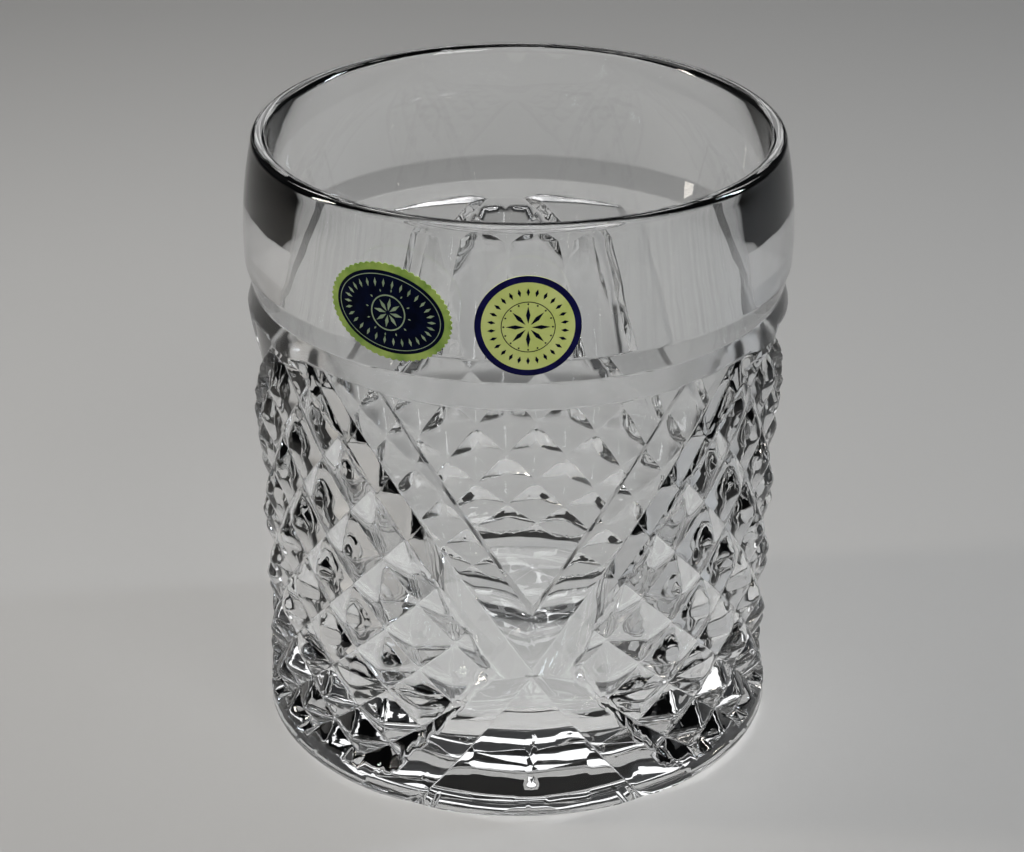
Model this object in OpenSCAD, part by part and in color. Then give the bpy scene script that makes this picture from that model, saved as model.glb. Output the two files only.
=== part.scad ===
// Whiskey tumbler in cut crystal: plain band at the rim, three V-shaped windows framed by
// mitre cuts, diamond-cut fields between them, heavy floor, and two foil labels on the band.
// The origin is the centre of the base. +Z points up. One V window faces -Y.

/* [Overall] */
// Height of the tumbler
tumbler_h = 97; // [80:0.5:110]
// Radius of the plain band at its widest
band_r = 41.75; // [36:0.25:46]
// Height of the band's widest point above the base
band_z = 81; // [70:0.5:85]
// Radius of the cut body just above the foot
foot_r = 40; // [35:0.25:44]
// Growth of the cut body's radius for each millimetre of height
body_taper = 0.021; // [0:0.001:0.05]

/* [Rim and inside] */
// Radius of the opening at the rim
mouth_r = 37.6; // [33:0.1:40]
// Radius of the inside just above the floor's corner
well_r = 34.4; // [30:0.1:36]
// Height of the inside floor above the base
floor_z = 9.6; // [6:0.1:16]
// Radius of the corner between the wall and the floor
well_corner_r = 10; // [4:0.5:14]
// Height of the rounded lip
lip_h = 1.3; // [0.5:0.1:2]

/* [Foot] */
// Radius of the flat ring the tumbler stands on, outside
rest_outer_r = 38.6; // [34:0.1:40]
// Radius of the flat ring the tumbler stands on, inside
rest_inner_r = 30; // [20:0.5:36]
// Depth of the hollow under the base
punt_depth = 1.2; // [0:0.1:3]

/* [Ring below the band] */
// Height of the ring groove's lower edge
ring_low_z = 69.8; // [60:0.1:74]
// Height of the ring groove's bottom
ring_mid_z = 73.4; // [62:0.1:78]
// Height of the ring groove's upper edge
ring_top_z = 77.4; // [64:0.1:80]
// Depth of the ring groove
ring_depth = 0.8; // [0.1:0.05:1.5]

/* [V windows] */
// Number of V windows around the body
windows = 3; // [2:1:4]
// Height of the outer V line at its point
v_outer_z = 25.15; // [15:0.05:40]
// Rise of the outer V line, multiplied by the sine of the angle from the point
v_outer_rise = 57.5; // [40:0.5:80]
// Height of the inner V line at its point
v_inner_z = 37.5; // [25:0.05:50]
// Rise of the inner V line
v_inner_rise = 63.5; // [40:0.5:80]
// Depth of the mitre cut along the outer V line
mitre_depth = 2.3; // [0.5:0.1:3]
// Height of the field's border line, carried on to the middle of the window
v_border_z = 19.7; // [10:0.1:30]
// Rise of the field's border line
v_border_rise = 61.2; // [40:0.5:80]
// Height of the narrow step along the inner V line
step_h = 1.8; // [0.5:0.1:3]
// Rise of the narrow step
step_drop = 0.7; // [0.1:0.05:1]
// How far the plain strip beside the mitre lies below the body's surface
strip_drop = 0.4; // [0:0.05:1]

/* [Feet of the V windows] */
// Height of the point where the two legs part
leg_z = 24; // [15:0.05:40]
// Fall of a leg, multiplied by the sine of the angle from the middle
leg_fall = 53; // [30:0.5:80]
// Slope of the two facets between the legs, outwards for each millimetre down
leg_slope = 0.12; // [0.05:0.01:0.3]
// Height of the field's lower border line, carried on to the middle
leg_border_z = 32.4; // [20:0.1:40]
// Fall of the field's lower border line
leg_border_fall = 53; // [30:0.5:80]

/* [Diamond fields] */
// Lattice columns in each third of the body, an even number
columns = 14; // [10:2:20]
// Height of the lowest row of crossings
row_z = 4.4; // [2:0.1:12]
// Step from the lowest row to the next
row_step = 4.36; // [3:0.1:7]
// Growth of the step from row to row
row_growth = 0.15; // [0:0.01:0.4]
// Rows of crossings
rows = 13; // [8:1:16]
// Depth of the crossings below the diamonds' points
diamond_depth = 2.5; // [1:0.1:3]
// How far the diamonds' points lie below the body's surface
tip_drop = 0.35; // [0:0.05:1]

/* [Labels] */
// Diameter of the round label
round_d = 15; // [10:0.5:20]
// Angle of the round label from the middle of the front window
round_angle = -1.3; // [-180:0.1:180]
// Width of the oval label
oval_w = 19.3; // [14:0.1:30]
// Height of the oval label
oval_h = 14.3; // [8:0.1:20]
// Angle of the oval label from the middle of the front window
oval_angle = -29; // [-180:0.1:180]
// Slant of the oval label
oval_slant = -8; // [-90:1:90]
// Scallops around the oval label's edge
scallops = 56; // [24:1:80]
// Height of the labels' centres
label_z = 83.1; // [78:0.5:90]
// Thickness of a label
label_t = 0.12; // [0.05:0.01:0.3]
// Thickness of the adhesive under a label
adhesive_t = 0.04; // [0.02:0.01:0.1]

/* [Hidden] */
$fn = 96;
third = 360 / windows;
col_step = third / columns;
far_r = 48;
near_r = 30;
lip_z = tumbler_h - lip_h;
ring_r = band_r - 0.0073 * pow(ring_mid_z - band_z, 2) - ring_depth;
function body_r(z) = foot_r + body_taper * z;
function band_r_at(z) = band_r - 0.0073 * pow(z - band_z, 2);
// points up the band's outside, set off by gap; from below the band's edge the same curve is carried on down,
// so that a label bridges the top of the ring
function band_line(gap, from) = concat(from < ring_top_z ? [[band_r_at(from) + gap, from]] : [],
  [for (z = [ring_top_z:2.6:lip_z - 0.1]) [band_r_at(z) + gap, z]]);
function row_at(j) = row_z + row_step * j + row_growth * j * (j - 1);
function tip_r(z) = body_r(z) - tip_drop;
function dip_r(z) = tip_r(z) - diamond_depth;
function at(a, r, z) = [r * sin(a), -r * cos(a), z];
// heights of the guide lines at an angle a from the middle of a window
function v_out(a) = v_outer_z + v_outer_rise * sin(abs(a));
function v_in(a) = v_inner_z + v_inner_rise * sin(abs(a));
function v_border(a) = v_border_z + v_border_rise * sin(abs(a));
function leg(a) = leg_z - leg_fall * sin(abs(a));
function leg_border(a) = leg_border_z - leg_border_fall * sin(abs(a));

// a solid through a row of sections with the same number of corners
module skin(sections) {
  n = len(sections);
  m = len(sections[0]);
  pts = [for (s = sections) each s];
  sides = [for (i = [0:n - 2], k = [0:m - 1]) let (a = i * m + k, b = i * m + (k + 1) % m)
      each [[a, b, b + m], [a, b + m, a + m]]];
  ends = [[for (k = [m - 1:-1:0]) k], [for (k = [0:m - 1]) (n - 1) * m + k]];
  polyhedron(points = pts, faces = concat(sides, ends), convexity = 8);
}

// the turned blank, before any cutting
module blank() {
  rotate_extrude()
    polygon(concat(
      [[0, punt_depth], [rest_inner_r * 0.5, punt_depth * 0.8], [rest_inner_r * 0.85, punt_depth * 0.35],
       [rest_inner_r, 0], [rest_outer_r, 0]],
      [for (a = [20:20:80]) [rest_outer_r + (foot_r + 0.3 - rest_outer_r) * sin(a), 2.4 * (1 - cos(a))]],
      [[foot_r + 0.3, 2.4], [body_r(5.5), 5.5]],
      [[body_r(ring_low_z), ring_low_z], [ring_r, ring_mid_z]],
      band_line(0, ring_top_z),
      [for (a = [0:18:180]) let (c = (band_r_at(lip_z) + mouth_r) / 2, w = (band_r_at(lip_z) - mouth_r) / 2)
          [c + w * cos(a), lip_z + lip_h * sin(a)]],
      [[0, lip_z]]
    ));
}

// the inside, from the mouth down to the floor
module well() {
  corner_z = floor_z + well_corner_r;
  rotate_extrude()
    polygon(concat(
      [[0, floor_z]],
      [for (a = [0:11.25:90]) [well_r - well_corner_r + well_corner_r * sin(a),
          floor_z + 0.3 + well_corner_r * (1 - cos(a))]],
      [[mouth_r, lip_z], [mouth_r, tumbler_h + 3], [0, tumbler_h + 3]]
    ));
}

// one diamond field's relief, as the glass that is cut away
module diamond_relief() {
  // columns run from 0 to the next window's middle; crossings alternate from column to column
  last = columns;
  grid = [for (c = [0:last], j = [0:rows - 1]) [c, j]];
  function is_dip(c, j) = (c + j) % 2 == 1;
  function id(c, j) = c * rows + j;
  inner = [for (g = grid) let (z = row_at(g[1]), r = is_dip(g[0], g[1]) ? dip_r(z) : tip_r(z))
      at(g[0] * col_step, r, z)];
  outer = [for (g = grid) at(g[0] * col_step, far_r, row_at(g[1]))];
  n = len(inner);
  // each little square is split along the line that joins two dips
  cells = [for (c = [0:last - 1], j = [0:rows - 2])
      let (a = id(c, j), b = id(c + 1, j), d = id(c + 1, j + 1), e = id(c, j + 1))
        each (is_dip(c, j) ? [[a, b, d], [a, d, e]] : [[a, b, e], [b, d, e]])];
  back = [for (f = cells) [f[2] + n, f[1] + n, f[0] + n]];
  bottom = [for (c = [0:last - 1]) let (a = id(c, 0), b = id(c + 1, 0)) each [[a, a + n, b + n], [a, b + n, b]]];
  top = [for (c = [0:last - 1]) let (a = id(c, rows - 1), b = id(c + 1, rows - 1))
      each [[b, b + n, a + n], [b, a + n, a]]];
  left = [for (j = [0:rows - 2]) let (a = id(0, j), b = id(0, j + 1)) each [[b, b + n, a + n], [b, a + n, a]]];
  right = [for (j = [0:rows - 2]) let (a = id(last, j), b = id(last, j + 1)) each [[a, a + n, b + n], [a, b + n, b]]];
  polyhedron(points = concat(inner, outer), faces = concat(cells, back, bottom, top, left, right),
    convexity = 10);
}

// the outline of one diamond field, as a thick wedge around the wall
module field_outline() {
  top_z = ring_low_z - 0.4;
  low_z = 5.4;
  // the corner where the upper and lower borders meet
  a0 = asin((leg_border_z - v_border_z) / (v_border_rise + leg_border_fall)) + 0.4;
  skin([for (t = [0:1:24]) let (a = a0 + (third - 2 * a0) * t / 24, q = min(a, third - a),
        lo = max(low_z, leg_border(q)), hi = min(top_z, v_border(q)))
      [at(a, near_r, lo), at(a, far_r - 2, lo), at(a, far_r - 2, hi), at(a, near_r, hi)]]);
}

// the V window's mitre cut, from one end of the V round its point to the other: the outer flank,
// the wide inner flank and the narrow step up to the window; the outer two run on out of the glass
module window_cut() {
  top_z = ring_low_z + 0.9;
  end_a = asin((top_z - 1 - v_outer_z) / v_outer_rise);
  skin([for (t = [12:-1:-12]) let (a = end_a * t / 12,
        zo = v_out(a), zi = v_in(a), zn = v_border(a), low = body_r(zo) - mitre_depth,
        zs = zi - step_h, rise = (body_r(zs) - step_drop - low) / (zs - zo), steep = step_drop / step_h,
        z3 = min(zs, top_z - 0.5), z4 = min(zi + 2, top_z), r3 = low + rise * (z3 - zo),
        r4 = r3 + (zs < z4 ? steep + 0.02 : rise) * (z4 - z3),
        strip = (body_r(zn) - strip_drop - low) / (zo - zn),
        zb = max(zn - 2, (zo + leg(a)) / 2 - 0.3))
      [at(a, far_r, zb), at(a, low + strip * (zo - zb), zb),
        at(a, low, zo), at(a, r3, z3), at(a, r4, z4), at(a, far_r, z4)]]);
}

// the cut below the V's point, from one foot over the fork to the other: two flanks that meet in a
// ridge down the middle, and the outer flanks on the fields' side
module foot_cut() {
  end_a = asin((leg_border_z - 6) / leg_border_fall);
  skin([for (t = [9:-1:-9]) let (a = end_a * t / 9,
        zo = leg(a), zn = leg_border(a),
        low = body_r(zo) - mitre_depth * max(0.62, min(1, 0.62 + 0.38 * (zo - 2) / 10)),
        strip = (body_r(zn) - strip_drop - low) / (zn - zo),
        zb = min(zn + 2, (zo + v_out(a)) / 2 + 0.3), zl = -4)
      [at(a, far_r, zl), at(a, low + leg_slope * (zo - zl), zl), at(a, low, zo),
        at(a, low + strip * (zb - zo), zb), at(a, far_r, zb)]]);
}

module tumbler_glass() {
  color([0.93, 0.96, 0.97, 0.35])
    difference() {
      blank();
      well();
      for (w = [0:windows - 1]) rotate([0, 0, w * third]) {
        intersection() {
          diamond_relief();
          field_outline();
        }
        window_cut();
        foot_cut();
      }
    }
}

// a thin skin on the band, from gap to gap plus t outside the glass
module band_skin(gap, t) {
  inside = band_line(gap, ring_mid_z + 0.6);
  outside = band_line(gap + t, ring_mid_z + 0.6);
  n = len(inside);
  rotate_extrude() polygon(concat(inside, [for (k = [n - 1:-1:0]) outside[k]]));
}

module oval_outline() {
  polygon([for (k = [0:scallops * 2 - 1]) let (p = (k + 0.37) * 180 / scallops, d = k % 2 == 0 ? 0.975 : 1)
      [oval_w / 2 * d * cos(p), oval_h / 2 * d * sin(p)]]);
}

// a prism that points straight out of the band at angle a
module label_prism(a) {
  rotate([0, 0, a]) translate([0, -band_r + 4, label_z]) rotate([90, 0, 0])
    linear_extrude(8) children();
}

module oval_label() {
  color([0.09, 0.16, 0.27])
    intersection() {
      band_skin(adhesive_t, label_t);
      label_prism(oval_angle) rotate(oval_slant) oval_outline();
    }
}

module oval_label_adhesive() {
  color([0.85, 0.85, 0.8, 0.6])
    intersection() {
      band_skin(0, adhesive_t);
      label_prism(oval_angle) rotate(oval_slant) oval_outline();
    }
}

module round_label() {
  color([0.7, 0.78, 0.33])
    intersection() {
      band_skin(adhesive_t, label_t);
      label_prism(round_angle) circle(d = round_d);
    }
}

module round_label_adhesive() {
  color([0.85, 0.85, 0.8, 0.6])
    intersection() {
      band_skin(0, adhesive_t);
      label_prism(round_angle) circle(d = round_d);
    }
}

tumbler_glass();
oval_label_adhesive();
oval_label();
round_label_adhesive();
round_label();
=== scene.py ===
import math
import bpy
import numpy as np
from mathutils import Vector, Matrix
from mathutils.geometry import delaunay_2d_cdt


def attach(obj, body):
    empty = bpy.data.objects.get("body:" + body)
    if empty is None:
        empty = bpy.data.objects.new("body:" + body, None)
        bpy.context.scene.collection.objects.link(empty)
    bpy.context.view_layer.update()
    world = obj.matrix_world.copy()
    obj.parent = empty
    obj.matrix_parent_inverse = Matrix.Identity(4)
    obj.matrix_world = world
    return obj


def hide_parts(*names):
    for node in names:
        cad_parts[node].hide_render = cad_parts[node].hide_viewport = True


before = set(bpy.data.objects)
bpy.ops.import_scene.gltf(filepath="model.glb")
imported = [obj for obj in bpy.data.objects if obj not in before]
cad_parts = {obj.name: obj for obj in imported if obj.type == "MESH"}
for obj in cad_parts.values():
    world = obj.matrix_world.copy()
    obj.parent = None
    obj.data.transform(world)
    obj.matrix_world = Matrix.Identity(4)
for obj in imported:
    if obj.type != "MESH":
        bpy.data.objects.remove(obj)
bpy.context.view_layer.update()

# ---------------------------------------------------------------- the glass's outside
# Lengths are in mm and angles in degrees; mesh_object turns mm into metres. th is the angle round
# the glass from the front, and q is the angle from the middle of the nearest window.
BODY_R, BODY_TAPER = 40, 0.021                  # radius at the foot, and how much it grows per mm
BAND_R, BAND_BEND, BAND_Z = 41.75, 0.0073, 81   # the band's widest radius, its bend, and its height
MEAN_R = 40.4                                   # turns an angle on the body into mm
HEEL_R, HEEL_W, HEEL_H = 38.6, 1.7, 2.4         # the rounded heel: its start, width, height
EASE_Z = np.linspace(2.8, 5.5, 8)               # where the heel runs out into the body
EASE_DROP, EASE_H = 0.185, 3.1
RING_LOW, RING_MID, RING_TOP = 69.8, 73.4, 77.4
RING_DEPTH = 0.8
BLANK_TOP = 96

# lines across the body as z = start + gain * sin(q), or start - gain * sin(q) for the fork's legs
V_OUT, V_IN, V_BORDER = (25.15, 57.5), (37.5, 63.5), (19.7, 61.2)
LEG, LEG_BORDER = (24.0, 53.0), (32.4, 53.0)
V_TOP, V_END_RISE = 69.9, 4           # above this height the V's cut runs out, so steeply
CUT_DEPTH = 2.3
BORDER_DROP = 0.4                     # depth of the cuts' far edges, along the fields
STEP_WIDTH, STEP_DROP, STEP_SLOPE = 1.8, 0.7, 0.42   # the narrow step along each inner V line
REACH = 3                             # how far a cut goes on past its border line
LEG_FOOT = 0.62                       # share of the depth left in a leg at its foot
LEG_FOOT_Z, LEG_FOOT_H = 2, 10        # height of that foot, and of the way to the full depth
LEG_BACK_SLOPE = 0.12                 # slope of the smooth side of a leg

# the diamonds
COLUMNS = 7
STEP = 60.0 / COLUMNS                 # angle between lattice columns
ROW_Z, ROW_STEP, ROW_GROWTH = 4.4, 4.36, 0.15
ROWS = np.array([ROW_Z + ROW_STEP * j + ROW_GROWTH * j * (j - 1) for j in range(-1, 15)])
SOFT_U, SOFT_W = 0.18, 0.13           # how rounded the tips and ridges are
DIAMOND_DROP, DIAMOND_DEPTH = 0.35, 2.5
FIELD_TOP, FIELD_FOOT, FIELD_FOOT_RISE = 69.6, 4.0, 1.2
EDGE_FADE, EDGE_RISE = 1.7, 1.6       # the diamonds get shallower this near the field's border
EDGE = 0.12                           # radius of the rounding of every edge


def sind(a): return np.sin(np.radians(a))
def asind(x): return math.degrees(math.asin(x))
def body_r(z): return BODY_R + BODY_TAPER * z
def band_r(z): return BAND_R - BAND_BEND * (z - BAND_Z) ** 2
def v_out(q): return V_OUT[0] + V_OUT[1] * sind(q)
def v_in(q): return V_IN[0] + V_IN[1] * sind(q)
def v_border(q): return V_BORDER[0] + V_BORDER[1] * sind(q)
def leg(q): return LEG[0] - LEG[1] * sind(q)
def leg_border(q): return LEG_BORDER[0] - LEG_BORDER[1] * sind(q)


_heel = np.radians(np.linspace(0, 90, 24))
_band = np.linspace(RING_TOP, BLANK_TOP, 60)
BLANK_Z = np.concatenate([HEEL_H * (1 - np.cos(_heel)), EASE_Z, [RING_LOW, RING_MID], _band])
BLANK_R = np.concatenate([HEEL_R + HEEL_W * np.sin(_heel),
                          HEEL_R + HEEL_W - EASE_DROP * (EASE_Z - HEEL_H) / EASE_H,
                          [body_r(RING_LOW), float(band_r(RING_MID)) - RING_DEPTH], band_r(_band)])


def blank_r(z):
    """Radius of the glass before it is cut."""
    return np.interp(z, BLANK_Z, BLANK_R)


def diamonds(q, z):
    """Radius of the diamonds' surface, as if the whole body had them."""
    u = q / STEP
    j = np.clip(np.searchsorted(ROWS, z) - 1, 0, len(ROWS) - 2)
    w = j - 1 + (z - ROWS[j]) / (ROWS[j + 1] - ROWS[j])
    nearest = np.full_like(u, 9.0)
    iu, iw = np.floor(u), np.floor(w)
    for a in (0, 1):
        for b in (0, 1):
            cu, cw = iu + a, iw + b
            tip = ((cu + cw) % 2) == 0
            d = (np.sqrt((u - cu) ** 2 + SOFT_U ** 2) + np.sqrt((w - cw) ** 2 + SOFT_W ** 2)
                 - SOFT_U - SOFT_W)
            nearest = np.minimum(nearest, np.where(tip, d, 9.0))
    height = np.clip(1 - nearest, 0, 1)
    du = (u - iu) * np.radians(STEP)
    chord = BODY_R * du * (np.radians(STEP) - du) / 2      # between columns the facets are flat
    return body_r(z) - DIAMOND_DROP - DIAMOND_DEPTH * (1 - height) - chord


def surface_raw(th, z):
    """Radius of the cut outside, with sharp edges."""
    q = np.abs((th + 60.0) % 120.0 - 60.0)
    r = blank_r(z)
    # the mitre cut along the V, with the step on its inner side
    zo, zn = v_out(q), v_border(q)
    low = body_r(zo) - CUT_DEPTH
    zs = v_in(q) - STEP_WIDTH
    rise = (body_r(zs) - STEP_DROP - low) / (zs - zo)
    up = low + rise * (z - zo) + np.maximum(0, z - zs) * (STEP_SLOPE - rise)
    down = low + (body_r(zn) - BORDER_DROP - low) / (zo - zn) * (zo - z)
    cut = np.where(z >= zo, up, down) + np.maximum(0, z - V_TOP) * V_END_RISE
    parting = (zo + leg(q)) / 2
    r = np.where(z > np.maximum(parting, zn - REACH), np.minimum(r, cut), r)
    # the fork's legs below the V's point
    zl, zm = leg(q), leg_border(q)
    share = np.clip(LEG_FOOT + (1 - LEG_FOOT) * (zl - LEG_FOOT_Z) / LEG_FOOT_H, LEG_FOOT, 1)
    low = body_r(zl) - CUT_DEPTH * share
    up = low + (body_r(zm) - BORDER_DROP - low) / (zm - zl) * (z - zl)
    down = low + LEG_BACK_SLOPE * (zl - z)
    cut = np.where(z >= zl, up, down)
    r = np.where(z <= np.minimum(parting, zm + REACH), np.minimum(r, cut), r)
    # the field of diamonds; inside is the distance from its border
    slope_v = V_BORDER[1] * np.cos(np.radians(q)) / MEAN_R
    slope_l = LEG_BORDER[1] * np.cos(np.radians(q)) / MEAN_R
    inside = np.minimum((zn - z) / np.sqrt(1 + slope_v ** 2), (z - zm) / np.sqrt(1 + slope_l ** 2))
    inside = np.minimum(np.minimum(inside, FIELD_TOP - z), (z - FIELD_FOOT) * FIELD_FOOT_RISE)
    field = diamonds(q, z) + np.maximum(0, EDGE_FADE - inside) * EDGE_RISE
    return np.where(inside > -1, np.minimum(r, field), r)


# offsets and weights of the samples that round the edges, in units of EDGE
SAMPLES = ([(0.0, 0.0, 2.0)]
           + [(math.cos(k * math.pi / 4), math.sin(k * math.pi / 4), 1.0) for k in range(8)]
           + [(0.5 * math.cos((k + .5) * math.pi / 2), 0.5 * math.sin((k + .5) * math.pi / 2), 1.6)
              for k in range(4)])
ROUND_FROM, ROUND_OVER = (2.6, 2.0), (79.0, 1.0)      # the rounding fades out at the heel and band


def surface(th, z):
    """The outside with its edges rounded a little, as polished edges are."""
    th, z = np.asarray(th, float), np.asarray(z, float)
    w = EDGE * np.clip((z - ROUND_FROM[0]) / ROUND_FROM[1], 0, 1) \
        * np.clip((ROUND_OVER[0] - z) / ROUND_OVER[1], 0, 1)
    acc, tot = 0.0, 0.0
    for x, y, k in SAMPLES:
        acc = acc + k * surface_raw(th + np.degrees(x * w / MEAN_R), z + y * w)
        tot += k
    return acc / tot


def place(th, r, z):
    """Points from angle, radius and height."""
    t = np.radians(th)
    return np.stack([r * np.sin(t), -r * np.cos(t), z], 1)


def normal(th, z):
    """The outside's direction, from its slopes a small step h to each side."""
    h = 0.03
    r = surface(th, z)
    turn = np.degrees(h / MEAN_R)
    dt = (surface(th + turn, z) - surface(th - turn, z)) / (2 * h / MEAN_R)
    dz = (surface(th, z + h) - surface(th, z - h)) / (2 * h)
    t = np.radians(th)
    er = np.stack([np.sin(t), -np.cos(t), 0 * t], 1)
    et = np.stack([np.cos(t), np.sin(t), 0 * t], 1)
    n = er - et * (dt / r)[:, None] - np.stack([0 * t, 0 * t, dz], 1)
    return n / np.linalg.norm(n, axis=1)[:, None]


# ---------------------------------------------------------------- one sixth of the outside, flat
# The sixth is meshed flat, in mm along the surface and up, with every cut's edge as a line in it.
K = math.radians(1) * MEAN_R     # mm per degree
SEG = 56                         # segments in 60 degrees
WIDTH, HEIGHT = 60 * K, 78.6
FILL_X, FILL_Z = 1.0, 0.86       # spacing of the filling points
FILL_CLEAR = 0.36                # how near a line a filling point may lie
CELL = 0.5                       # size of the squares that the lines' points are sorted into
pts, edges, lines = [], [], []


def add_line(p, offset=(0.0,)):
    """A polyline through (angle, z) points, and copies of it set off sideways."""
    p = np.array(p, float)
    p[:, 0] *= K
    t = np.gradient(p, axis=0)
    t /= np.linalg.norm(t, axis=1)[:, None] + 1e-12
    n = np.stack([-t[:, 1], t[:, 0]], 1)
    for o in offset:
        q = p + n * o
        ok = ((q[:, 0] > -1e-6) & (q[:, 0] < WIDTH + 1e-6)
              & (q[:, 1] > -1e-6) & (q[:, 1] < HEIGHT + 1e-6))
        last = None
        for k in range(len(q)):
            if not ok[k]:
                last = None
                continue
            pts.append((min(max(q[k, 0], 0.0), WIDTH), q[k, 1]))
            if last is not None:
                edges.append((last, len(pts) - 1))
            last = len(pts) - 1
        lines.append(q[ok])


def curve(f, a, b, n, offset=(0.0,)):
    """The line z = f(angle) from angle a to angle b."""
    add_line([(x, f(x)) for x in np.linspace(a, b, n)], offset)


def in_field(x, z, past=0):
    return leg_border(x) - past < z < v_border(x) + past


ACROSS = (-EDGE, 0.0, EDGE)      # an edge is a line and one on each side, where its rounding ends
STEP_TOP = V_IN[0] - STEP_WIDTH
LEG_END, LEG_BORDER_END = 0.4, 3                  # heights down to which the leg's lines are drawn
FORK_Z, FORK_RISE, FORK_A = 24.58, 1.95, 6.4      # the short edge between the V's cut and the leg's
xs = np.linspace(0, 60, SEG + 1)
heel = [float(HEEL_H * (1 - math.cos(math.radians(a)))) for a in (0, 15, 30, 42, 54, 66, 78, 90)]
ring = [69.6, 69.8, 70.0, 70.2, 70.4, 73.2, 73.4, 73.6, 77.1, 77.4, 77.7]     # round its edges
for z in heel + ring + [HEIGHT]:
    add_line([(x, z) for x in xs])
curve(v_out, 0, asind((V_TOP - V_OUT[0]) / V_OUT[1]), 70, ACROSS)
curve(v_in, 0, asind((RING_LOW - V_IN[0]) / V_IN[1]), 44, ACROSS)
curve(lambda q: v_in(q) - STEP_WIDTH, 0, asind((RING_LOW - STEP_TOP) / V_IN[1]), 50, ACROSS)
curve(leg, 0, asind((LEG[0] - LEG_END) / LEG[1]), 34, ACROSS)
add_line([(x, FORK_Z + FORK_RISE * x / FORK_A) for x in np.linspace(0, FORK_A, 9)], (-.2, 0, .2))
crossing = asind((LEG_BORDER[0] - V_BORDER[0]) / (V_BORDER[1] + LEG_BORDER[1]))
curve(v_border, crossing, asind((FIELD_TOP - V_BORDER[0]) / V_BORDER[1]), 60)
curve(leg_border, crossing, asind((LEG_BORDER[0] - LEG_BORDER_END) / LEG_BORDER[1]), 36)
# the lattice's slanting grooves and ridges, kept to the field
for c in range(COLUMNS):
    for j in range(-1, 13):
        for dj in (1, -1):
            if (c + j) % 2 == 0 or not -1 <= j + dj < 14:
                continue
            z0, z1 = ROWS[j + 1], ROWS[j + dj + 1]
            seg = [((c + t) * STEP, z0 + (z1 - z0) * t) for t in np.linspace(0, 1, 9)]
            keep = [s for s in seg if in_field(*s, past=1) and 2.8 < s[1] < 69.4]
            if len(keep) > 1:
                add_line(keep, ACROSS)
# the ridges up and across the diamonds
for c in range(1, COLUMNS):
    keep = [(c * STEP, z) for z in np.arange(3, 69.3, 0.9) if in_field(c * STEP, z)]
    if len(keep) > 1:
        add_line(keep)
for z in ROWS[1:14]:
    keep = [(x, z) for x in np.linspace(STEP, 60, 50) if in_field(x, z)]
    if len(keep) > 1 and z < 69:
        add_line(keep)
# the frame of the sixth; its sides are mirror lines, so their points are fixed
side = list(np.arange(HEEL_H, HEIGHT, 0.55))
for x in (0.0, 60.0):
    add_line([(x, z) for z in heel] + [(x, z) for z in side[1:]] + [(x, HEIGHT)])

# filling points in staggered rows, without those that lie too near a line
cells = {}
for p in np.concatenate(lines):
    cells.setdefault((int(p[0] / CELL), int(p[1] / CELL)), []).append(p)


def near_line(p):
    ci, cj = int(p[0] / CELL), int(p[1] / CELL)
    return any((o[0] - p[0]) ** 2 + (o[1] - p[1]) ** 2 < FILL_CLEAR ** 2
               for a in (-1, 0, 1) for b in (-1, 0, 1) for o in cells.get((ci + a, cj + b), ()))


row, z = 0, 2.9
while z < HEIGHT - 0.4:
    stagger = 0.5 if row % 2 else 0.0
    for x in np.arange(0.6 + stagger, WIDTH - 0.4, FILL_X):
        if not near_line((x, z)):
            pts.append((x, z))
    z += FILL_Z
    row += 1

flat_points, _, flat_faces, _, _, _ = delaunay_2d_cdt([Vector(p) for p in pts], edges, [], 0, 1e-4)
flat_points = np.array([tuple(v) for v in flat_points])
flat_faces = np.array([tuple(f) for f in flat_faces if len(f) == 3])
A = flat_points[flat_faces]
twice = ((A[:, 1, 0] - A[:, 0, 0]) * (A[:, 2, 1] - A[:, 0, 1])
         - (A[:, 2, 0] - A[:, 0, 0]) * (A[:, 1, 1] - A[:, 0, 1]))
flat_faces, twice = flat_faces[np.abs(twice) > 1e-7], twice[np.abs(twice) > 1e-7]
flat_faces[twice < 0] = flat_faces[twice < 0][:, ::-1]      # all counter-clockwise

# ---------------------------------------------------------------- the whole glass
verts, norms, faces = [], [], []


def add_part(v, n, f):
    """Add points, their normals, and faces that count the points from 0."""
    base = sum(len(p) for p in verts)
    verts.append(v)
    norms.append(n)
    faces.extend(tuple(int(i) + base for i in t) for t in f)


sixth_th, sixth_z = flat_points[:, 0] / K, flat_points[:, 1]
sixth_r = surface(sixth_th, sixth_z)
for w in range(3):
    for mirror in (1, -1):
        th = w * 120 + mirror * sixth_th
        add_part(place(th, sixth_r, sixth_z), normal(th, sixth_z),
                 flat_faces if mirror > 0 else flat_faces[:, ::-1])


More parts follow.
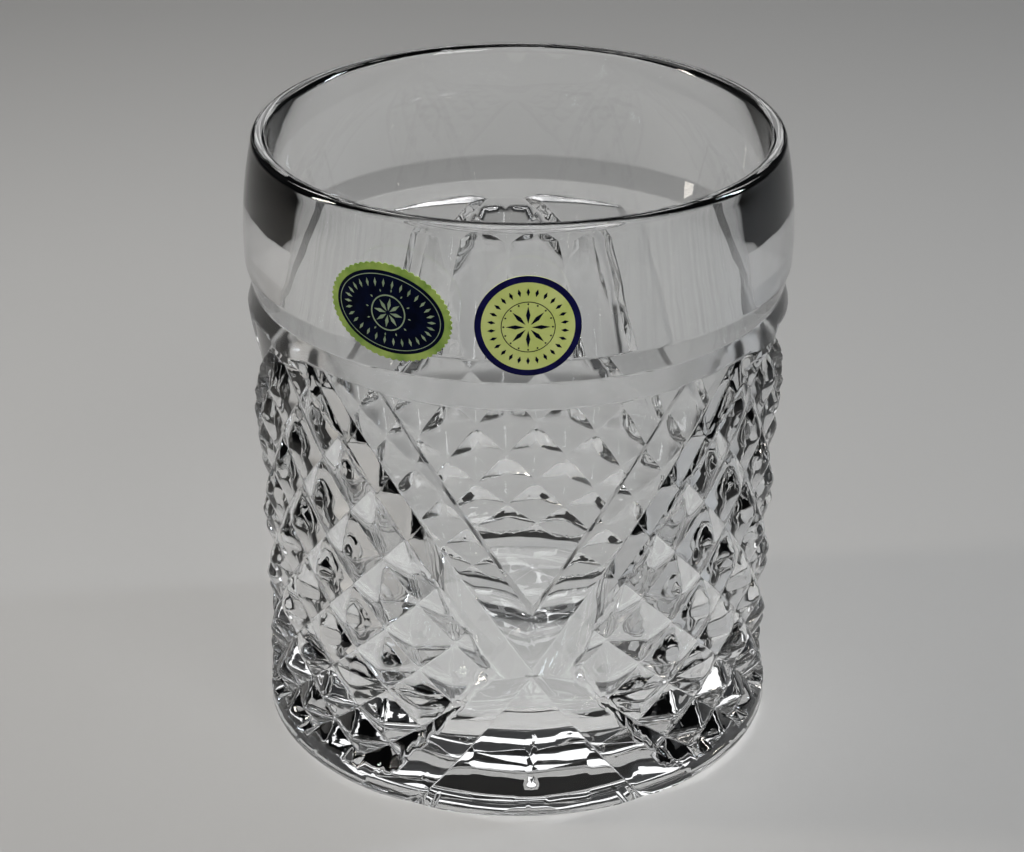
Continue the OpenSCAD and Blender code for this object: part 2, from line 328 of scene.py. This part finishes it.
def turned(profile):
    """Turn a profile of (radius, z) points round the axis; a point on the axis stays one point."""
    profile = np.array(profile)
    along = np.gradient(profile, axis=0)
    out = np.stack([along[:, 1], -along[:, 0]], 1)
    out /= np.linalg.norm(out, axis=1)[:, None]
    around_n = SEG * 6
    t = np.radians(np.linspace(0, 360, around_n, endpoint=False))
    v, n, f, rows = [], [], [], []
    base = 0
    for (r, z), (nr, nz) in zip(profile, out):
        if r < 1e-6:
            v.append(np.array([[0, 0, z]]))
            n.append(np.array([[0, 0, np.sign(nz) or 1.0]]))
        else:
            v.append(np.stack([r * np.sin(t), -r * np.cos(t), 0 * t + z], 1))
            n.append(np.stack([nr * np.sin(t), -nr * np.cos(t), 0 * t + nz], 1))
        rows.append(range(base, base + len(v[-1])))
        base += len(v[-1])
    for a, b in zip(rows, rows[1:]):
        for i in range(around_n):
            k = (i + 1) % around_n
            if len(b) == 1:
                f.append((a[i], a[k], b[0]))
            elif len(a) == 1:
                f.append((a[0], b[k], b[i]))
            else:
                f.append((a[i], a[k], b[k], b[i]))
    add_part(np.concatenate(v), np.concatenate(n), f)


# band, lip, well and floor, from the outside inwards
LIP_Z, LIP_H, WELL_TOP_R = 95.7, 1.3, 37.6
WELL_R, CORNER_R = 34.4, 10.0                # the well's radius at its foot, and its corner's
FLOOR_Z, FLOOR_RISE = 9.6, 0.3               # the inside floor, and how much its edge is raised
STAND_R, HOLLOW = 30, 1.2                    # the standing ring's inner radius, the hollow's height
profile = [(float(band_r(z)), float(z)) for z in np.linspace(HEIGHT, 94.8, 26)]
lip_r, lip_w = (band_r(LIP_Z) + WELL_TOP_R) / 2, (band_r(LIP_Z) - WELL_TOP_R) / 2
for a in np.radians(np.linspace(0, 180, 19)):
    profile.append((lip_r + lip_w * math.cos(a), LIP_Z + LIP_H * math.sin(a)))
for k in range(1, 26):
    t = k / 26
    profile.append((WELL_TOP_R + (WELL_R - WELL_TOP_R) * t,
                    LIP_Z + (FLOOR_Z + FLOOR_RISE + CORNER_R - LIP_Z) * t))
for a in np.radians(np.linspace(90, 0, 19)):
    profile.append((WELL_R - CORNER_R + CORNER_R * math.sin(a),
                    FLOOR_Z + FLOOR_RISE + CORNER_R * (1 - math.cos(a))))
for t in np.linspace(1, 0, 14)[1:]:
    profile.append(((WELL_R - CORNER_R) * t, FLOOR_Z + FLOOR_RISE * t * t))
turned(profile)
# the hollow underneath and the ring that the glass stands on
turned([(0.0, HOLLOW)] + [(STAND_R * t, HOLLOW * (1 - t * t)) for t in np.linspace(0.06, 0.97, 16)]
       + [(30.0, 0.0), (31.0, 0.0), (HEEL_R, 0.0)])

# join the sixths and the turned parts where their points meet, within half a thousandth of a mm
verts, norms = np.concatenate(verts), np.concatenate(norms)
_, first, joined = np.unique(np.round(verts * 2000).astype(np.int64), axis=0,
                             return_index=True, return_inverse=True)
joined = joined.ravel()
glass_verts = verts[first]
glass_norms = np.zeros_like(glass_verts)
np.add.at(glass_norms, joined, norms)
glass_norms /= np.linalg.norm(glass_norms, axis=1)[:, None] + 1e-12
glass_faces = []
for f in faces:
    g = []
    for i in f:
        k = int(joined[i])
        if not g or g[-1] != k:
            g.append(k)
    if len(g) > 1 and g[0] == g[-1]:
        g.pop()
    if len(set(g)) >= 3:
        glass_faces.append(tuple(g))


def mesh_object(name, v, f, n=None):
    """A smooth-shaded object from points in mm, with its own normals if they are given."""
    me = bpy.data.meshes.new(name)
    me.from_pydata([tuple(p) for p in np.asarray(v) / 1000.0], [], f)
    me.validate()
    me.update()
    me.polygons.foreach_set("use_smooth", [True] * len(me.polygons))
    if n is not None and len(me.vertices) == len(n):
        me.normals_split_custom_set_from_vertices([tuple(x) for x in n])
    ob = bpy.data.objects.new(name, me)
    bpy.context.scene.collection.objects.link(ob)
    return ob


crystal = mesh_object("crystal_body", glass_verts, glass_faces, glass_norms)
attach(crystal, "root")
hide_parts("tumbler_glass")

# ---------------------------------------------------------------- materials


def new_material(name, values):
    """A material, its nodes and its shader, with numbers set on the shader's own sockets."""
    m = bpy.data.materials.new(name)
    m.use_nodes = True
    shader = m.node_tree.nodes["Principled BSDF"]
    for k, value in values.items():
        shader.inputs[k].default_value = value
    return m, m.node_tree, shader


def add_node(nt, kind, values=None, operation=None):
    n = nt.nodes.new("ShaderNode" + kind)
    if operation:
        n.operation = operation
    for k, value in (values or {}).items():
        n.inputs[k].default_value = value
    return n


def noise(nt, coords, scale, detail):
    n = add_node(nt, "TexNoise", {"Scale": scale, "Detail": detail})
    nt.links.new(coords, n.inputs["Vector"])
    return n.outputs["Fac"]


def ramp(nt, source, low, high, at_low, at_high):
    """A number that goes from at_low to at_high as the source goes from low to high."""
    n = add_node(nt, "MapRange", {"From Min": low, "From Max": high,
                                  "To Min": at_low, "To Max": at_high})
    nt.links.new(source, n.inputs["Value"])
    return n.outputs["Result"]


def times(nt, a, b):
    n = add_node(nt, "Math", operation="MULTIPLY")
    nt.links.new(a, n.inputs[0])
    nt.links.new(b, n.inputs[1])
    return n.outputs["Value"]


def add_bump(nt, shader, height, strength, distance):
    n = add_node(nt, "Bump", {"Strength": strength, "Distance": distance})
    nt.links.new(height, n.inputs["Height"])
    nt.links.new(n.outputs["Normal"], shader.inputs["Normal"])


glass, nt, shader = new_material("lead_crystal", {
    "Base Color": (0.985, 0.992, 0.995, 1), "Transmission Weight": 1.0, "IOR": 1.55})
coords = nt.nodes.new("ShaderNodeTexCoord").outputs["Object"]
smears = ramp(nt, noise(nt, coords, 60, 4), 0.45, 0.8, 0.0, 0.03)
# the lower strip of the ring, outside the well, is a little less polished than the rest
STRIP_ROUGHNESS, STRIP_MIN_R = 0.22, 0.0395
height = add_node(nt, "SeparateXYZ")
nt.links.new(coords, height.inputs["Vector"])
above = ramp(nt, height.outputs["Z"], 0.0697, 0.0700, 0, 1)
below = ramp(nt, height.outputs["Z"], 0.0731, 0.0734, 1, 0)
level = add_node(nt, "VectorMath", {1: (1, 1, 0)}, "MULTIPLY")
nt.links.new(coords, level.inputs[0])
radius = add_node(nt, "VectorMath", operation="LENGTH")
nt.links.new(level.outputs["Vector"], radius.inputs[0])
outside = add_node(nt, "Math", {1: STRIP_MIN_R}, "GREATER_THAN")
nt.links.new(radius.outputs["Value"], outside.inputs[0])
strip = times(nt, times(nt, above, below), outside.outputs["Value"])
roughness = add_node(nt, "Math", {1: STRIP_ROUGHNESS}, "MULTIPLY_ADD")
nt.links.new(strip, roughness.inputs[0])
nt.links.new(smears, roughness.inputs[2])
nt.links.new(roughness.outputs["Value"], shader.inputs["Roughness"])
# faint waves left by polishing
add_bump(nt, shader, noise(nt, coords, 90, 2), 0.2, 0.0002)
crystal.data.materials.append(glass)


def foil(name, dark, light, metal, rough, scale, shine=0.3):
    """Printed paper foil: mottled between two colours, with a fine grain."""
    m, nt, shader = new_material(name, {
        "Metallic": metal, "Roughness": rough, "Coat Weight": shine * 0.5, "Coat Roughness": 0.2,
        "Specular IOR Level": shine})
    coords = nt.nodes.new("ShaderNodeTexCoord").outputs["Object"]
    mottle = nt.nodes.new("ShaderNodeValToRGB")
    for stop, position, colour in zip(mottle.color_ramp.elements, (0.35, 0.65), (dark, light)):
        stop.position = position
        stop.color = (*colour, 1)
    nt.links.new(noise(nt, coords, scale, 6), mottle.inputs["Fac"])
    nt.links.new(mottle.outputs["Color"], shader.inputs["Base Color"])
    add_bump(nt, shader, noise(nt, coords, scale * 6, 3), 0.15, 0.00005)
    return m


lime = foil("lime_foil", (0.70, 0.80, 0.22), (0.82, 0.90, 0.32), 0.05, 0.38, 300)
green = foil("green_foil", (0.24, 0.40, 0.07), (0.48, 0.64, 0.15), 0.15, 0.35, 350)
navy = foil("navy_print", (0.0006, 0.002, 0.010), (0.002, 0.005, 0.026), 0.0, 0.55, 500, 0.04)
blue = foil("blue_print", (0.004, 0.004, 0.045), (0.009, 0.009, 0.085), 0.0, 0.45, 500, 0.06)
silver = foil("silver_green_print", (0.30, 0.42, 0.26), (0.46, 0.58, 0.38), 0.4, 0.4, 600)
film, _, _ = new_material("adhesive_film", {"Base Color": (0.8, 0.8, 0.74, 1), "Roughness": 0.5})

# ---------------------------------------------------------------- labels
# A label's own plane has x to the right and y up, in mm from its centre. seat is the centre's
# angle and height on the band, and the label's slant.
LABEL_R = 41.7         # radius on which a label's x is laid
OUTLINE_N = 448        # points round a label


def on_band(seat, x, y, lift):
    """A point of a label's own plane, laid on the band's curve and lifted off it."""
    angle, z0, slant = seat
    c, s = math.cos(math.radians(slant)), math.sin(math.radians(slant))
    across, up = c * x - s * y, s * x + c * y
    z = z0 + up
    r = float(band_r(z)) + lift
    t = math.radians(angle) + across / LABEL_R
    return (r * math.sin(t), -r * math.cos(t), z)


def label_piece(name, v, f, material):
    ob = mesh_object(name, np.array(v), f)
    ob.data.materials.append(material)
    ob.data.set_sharp_from_angle(angle=math.radians(40))
    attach(ob, "root")
    return ob


def patch(name, seat, outline, lift, thick, material, inner=None, rings=8):
    """A thin closed sheet on the band: a disc, or a ring if it has an inner outline. An outline
    gives x and y from an angle."""
    n = OUTLINE_N
    levels = [1.0, 0.5, 0.0] if inner else [k / rings for k in range(rings, 0, -1)]
    v, f = [], []
    for height in (lift + thick, lift):
        for t in levels:
            for a in (2 * math.pi * k / n for k in range(n)):
                ox, oy = outline(a)
                ix, iy = inner(a) if inner else (0.0, 0.0)
                v.append(on_band(seat, ix + (ox - ix) * t, iy + (oy - iy) * t, height))
        if not inner:
            v.append(on_band(seat, 0, 0, height))
    last = (len(levels) - 1) * n                 # first point of the innermost row
    under = len(v) // 2                          # first point of the underside
    for start, way in ((0, 1), (under, -1)):
        for row in range(start, start + last, n):
            for k in range(n):
                k2 = (k + 1) % n
                f.append((row + k, row + k2, row + n + k2, row + n + k)[::way])
        if not inner:
            for k in range(n):
                f.append((start + last + k, start + last + (k + 1) % n, start + last + n)[::way])
    for k in range(n):
        k2 = (k + 1) % n
        f.append((k, under + k, under + k2, k2))
        if inner:
            f.append((last + k2, under + last + k2, under + last + k, last + k))
    return label_piece(name, v, f, material)


def print_on(name, seat, shapes, lift, thick, material):
    """Small printed shapes on a label: each is a convex outline in the label's own plane."""
    v, f = [], []
    for shape in shapes:
        o, n = len(v), len(shape)
        for height in (lift + thick, lift):
            v += [on_band(seat, x, y, height) for x, y in shape]
        f.append(tuple(range(o, o + n)))
        f.append(tuple(range(o + 2 * n - 1, o + n - 1, -1)))
        f += [(o + k, o + n + k, o + n + (k + 1) % n, o + (k + 1) % n) for k in range(n)]
    return label_piece(name, v, f, material)


def circle(r): return lambda a: (r * math.cos(a), r * math.sin(a))
def ellipse(w, h): return lambda a: (w / 2 * math.cos(a), h / 2 * math.sin(a))


def scalloped(w, h, lobes=56, depth=0.032):
    """An ellipse with round lobes along its edge; depth is a share of its size."""
    def outline(a):
        k = 1 - depth * (1 - abs(math.sin(lobes * a / 2)))
        return w / 2 * k * math.cos(a), h / 2 * k * math.sin(a)
    return outline


def lozenge(x, y, ang, long, wide):
    c, s = math.cos(ang), math.sin(ang)
    return [(x + c * a - s * b, y + s * a + c * b)
            for a, b in ((long / 2, 0), (0, wide / 2), (-long / 2, 0), (0, -wide / 2))]


def hoop(w, h, t, n=72):
    """A thin oval line as short four-sided pieces."""
    out = []
    for k in range(n):
        p = []
        for a, e in ((k + 1, 0), (k + 1, t), (k, t), (k, 0)):
            q = 2 * math.pi * a / n
            p.append(((w / 2 - e) * math.cos(q), (h / 2 - e) * math.sin(q)))
        out.append(p)
    return out


def around(w, h, n, long, wide):
    """Lozenges that stand square to an oval."""
    return [lozenge(w / 2 * math.cos(q), h / 2 * math.sin(q),
                    math.atan2(w * math.sin(q), h * math.cos(q)), long, wide)
            for k in range(n) for q in [2 * math.pi * (k + 0.5) / n]]


def star(n, r0, r1, wide):
    """Lozenges that point out from the centre, from r0 to r1."""
    return [lozenge((r0 + r1) / 2 * math.cos(q), (r0 + r1) / 2 * math.sin(q), q, r1 - r0, wide)
            for k in range(n) for q in [2 * math.pi * k / n + math.pi / 2]]


ROUND_SEAT = (-1.3, 82.7, 0)
OVAL_SEAT = (-29.0, 83.0, -8.0)
GLUE_LIFT, GLUE_T = 0.005, 0.03
PAPER_LIFT, PAPER_T = 0.04, 0.11
INK_LIFT, INK_T = 0.15, 0.008
# the print's flat shapes are lifted so far that their middles clear the curved paper
ROUND_PRINT_LIFT, OVAL_PRINT_LIFT, PRINT_T = 0.172, 0.178, 0.006

o = patch("round_label_glue", ROUND_SEAT, circle(7.4), GLUE_LIFT, GLUE_T, film)
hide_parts("round_label_adhesive")
o = patch("round_label_paper", ROUND_SEAT, circle(7.5), PAPER_LIFT, PAPER_T, lime, rings=10)
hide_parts("round_label")
o = patch("round_label_border", ROUND_SEAT, circle(7.49), INK_LIFT, INK_T, blue,
          inner=circle(6.56))
o = print_on("round_label_print", ROUND_SEAT,
             around(10.3, 10.3, 26, 1.15, 0.5) + hoop(7.6, 7.6, 0.12) + star(8, 0.5, 3.1, 0.62)
             + star(16, 3.25, 3.6, 0.3), ROUND_PRINT_LIFT, PRINT_T, navy)
o = patch("oval_label_glue", OVAL_SEAT, ellipse(18.7, 13.7), GLUE_LIFT, GLUE_T, film)
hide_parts("oval_label_adhesive")
o = patch("oval_label_paper", OVAL_SEAT, scalloped(19.3, 14.3), PAPER_LIFT, PAPER_T, green,
          rings=10)
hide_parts("oval_label")
o = patch("oval_label_centre", OVAL_SEAT, ellipse(17.0, 12.0), INK_LIFT, INK_T, navy)
o = print_on("oval_label_print", OVAL_SEAT,
             hoop(16.0, 11.0, 0.11, 96) + around(13.3, 8.5, 30, 1.3, 0.42)
             + hoop(5.4, 5.4, 0.2) + star(8, 0.3, 2.25, 0.55) + star(12, 3.1, 3.6, 0.25),
             OVAL_PRINT_LIFT, PRINT_T, silver)

# ---------------------------------------------------------------- floor, light, camera, in metres
FLOOR_SIZE, FLOOR_DROP = 6.0, 0.0002      # the floor lies just under the glass's foot
bpy.ops.mesh.primitive_plane_add(size=FLOOR_SIZE, location=(0, 0, -FLOOR_DROP))
floor = bpy.context.object
floor.name = "floor"
floor_paint, _, _ = new_material("floor", {"Base Color": (0.33, 0.326, 0.318, 1), "Roughness": 0.6})
floor.data.materials.append(floor_paint)


def area(name, loc, target, size, power, color=(1, 1, 1), shadow=True):
    """A soft light of the given width and height, aimed at the target."""
    d = bpy.data.lights.new(name, "AREA")
    d.shape = "RECTANGLE"
    d.size, d.size_y = size
    d.energy = power
    d.color = color
    d.use_shadow = shadow
    ob = bpy.data.objects.new(name, d)
    bpy.context.scene.collection.objects.link(ob)
    ob.location = loc
    aim = Vector(target) - Vector(loc)
    ob.rotation_euler = aim.to_track_quat("-Z", "Y").to_euler()


# Clear glass casts a pale shadow. So the key and front lights are each split in two, and the part
# that goes through the glass casts no shadow.
KEY_AT, KEY_AIM, KEY_SIZE = (-0.1, 0.12, 0.4), (0, 0, 0.05), (0.26, 0.16)
FRONT_AT, FRONT_AIM, FRONT_SIZE = (0.3, -0.55, 0.62), (0, 0, 0.07), (0.3, 0.3)
STRIP_SIZE, STRIP_POWER = (0.05, 0.26), 1.1
area("key", KEY_AT, KEY_AIM, KEY_SIZE, 0.14)
area("key_through", KEY_AT, KEY_AIM, KEY_SIZE, 1.3, shadow=False)
area("front", FRONT_AT, FRONT_AIM, FRONT_SIZE, 1.6)
area("front_through", FRONT_AT, FRONT_AIM, FRONT_SIZE, 1.2, shadow=False)
area("left", (-0.55, 0.02, 0.3), (0, 0, 0.06), STRIP_SIZE, STRIP_POWER, color=(1, 0.93, 0.84))
area("right", (0.55, 0.08, 0.32), (0, 0, 0.06), STRIP_SIZE, STRIP_POWER, color=(0.84, 0.91, 1))
area("back", (0.05, 0.85, 0.42), (0, 0, 0.05), (1.0, 0.22), 0.9, shadow=False)
world = bpy.context.scene.world or bpy.data.worlds.new("world")
bpy.context.scene.world = world
world.use_nodes = True
background = world.node_tree.nodes.get("Background")
background.inputs["Color"].default_value = (0.5, 0.52, 0.55, 1)
background.inputs["Strength"].default_value = 0.06
bpy.context.scene.view_settings.view_transform = "Standard"

CAM_DISTANCE, CAM_HEIGHT = 0.4044, 0.2443      # from the glass's axis, and over the floor
CAM_TURN, CAM_PAN, CAM_TILT, CAM_ROLL = -3.2, 0.13, 64.0, 0.15
cam_d = bpy.data.cameras.new("cam")
cam_d.sensor_width = 36
cam_d.lens = 100.6171875
cam_d.clip_start = 0.01
cam = bpy.data.objects.new("cam", cam_d)
bpy.context.scene.collection.objects.link(cam)
turn = math.radians(CAM_TURN)
spot = Vector((CAM_DISTANCE * math.sin(turn), -CAM_DISTANCE * math.cos(turn), CAM_HEIGHT))
cam.matrix_world = (Matrix.Translation(spot)
                    @ Matrix.Rotation(turn + math.radians(CAM_PAN), 4, "Z")
                    @ Matrix.Rotation(math.radians(CAM_TILT), 4, "X")
                    @ Matrix.Rotation(math.radians(CAM_ROLL), 4, "Z"))
bpy.context.scene.camera = cam
